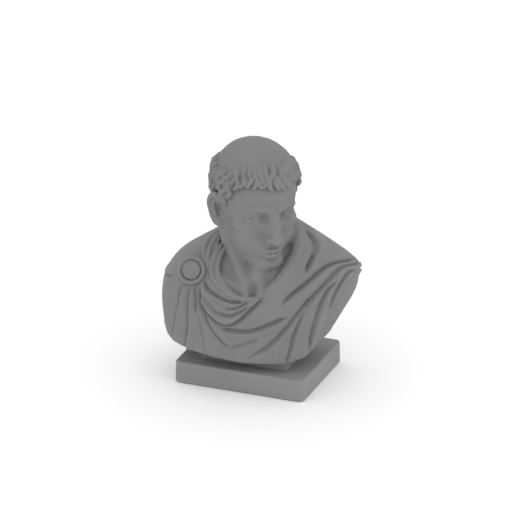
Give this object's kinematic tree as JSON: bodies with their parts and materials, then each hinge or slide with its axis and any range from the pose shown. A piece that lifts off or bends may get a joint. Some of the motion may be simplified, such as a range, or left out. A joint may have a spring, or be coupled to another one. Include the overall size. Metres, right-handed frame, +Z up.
{
  "type": "roman emperor bust",
  "caption": "Life-size stone portrait bust of a Roman emperor in a military cloak, head turned and tilted down, standing on a low rectangular plinth.",
  "frame": {"origin": "centre of the plinth's underside", "axes": "+Z up; the chest faces -Y, turned ten degrees towards +X; +X is the figure's left"},
  "size_m": [0.3921, 0.2348, 0.4986],
  "materials": {
    "carved_stone": "matte, fine-grained carved stone",
    "plinth_stone": "matte, smoothly rubbed stone"
  },
  "bodies": {
    "root": {"bust": "carved_stone", "plinth": "plinth_stone"}
  },
  "joints": []
}
